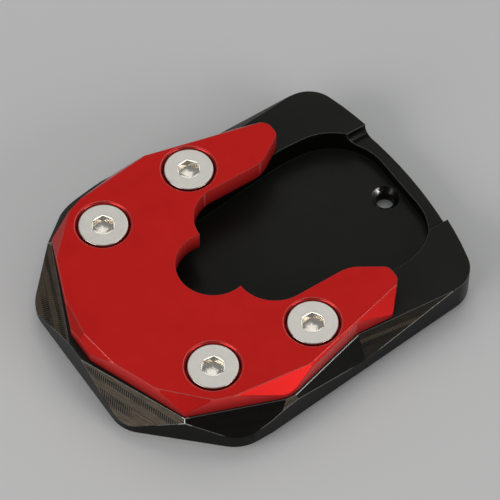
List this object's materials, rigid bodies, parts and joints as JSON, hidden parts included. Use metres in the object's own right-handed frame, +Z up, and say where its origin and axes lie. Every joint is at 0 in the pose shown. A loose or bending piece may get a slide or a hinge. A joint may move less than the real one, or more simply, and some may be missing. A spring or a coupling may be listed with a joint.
{
  "type": "kickstand foot enlarger",
  "caption": "Enlarger for a motorbike side stand's foot: a faceted base plate with a pocket for the foot, and a slotted plate held by low head screws that clamps the foot down.",
  "frame": {"origin": "middle of the sole, under the middle of the part's length and width", "axes": "+Z up, away from the ground; +Y along the part towards the low rim, where the stand's leg leaves; +X to the right when looking along +Y"},
  "size_m": [0.066, 0.0794, 0.0129],
  "materials": {
    "base_plate": "satin black anodising, with milled facets that are barely coloured",
    "clamp_plate": "satin red anodising",
    "screws": "turned stainless steel"
  },
  "bodies": {
    "root": {"base_plate": "base_plate", "clamp_plate": "clamp_plate", "screw_front_left": "screws", "screw_front_right": "screws", "screw_rear_left": "screws", "screw_rear_right": "screws"}
  },
  "joints": []
}
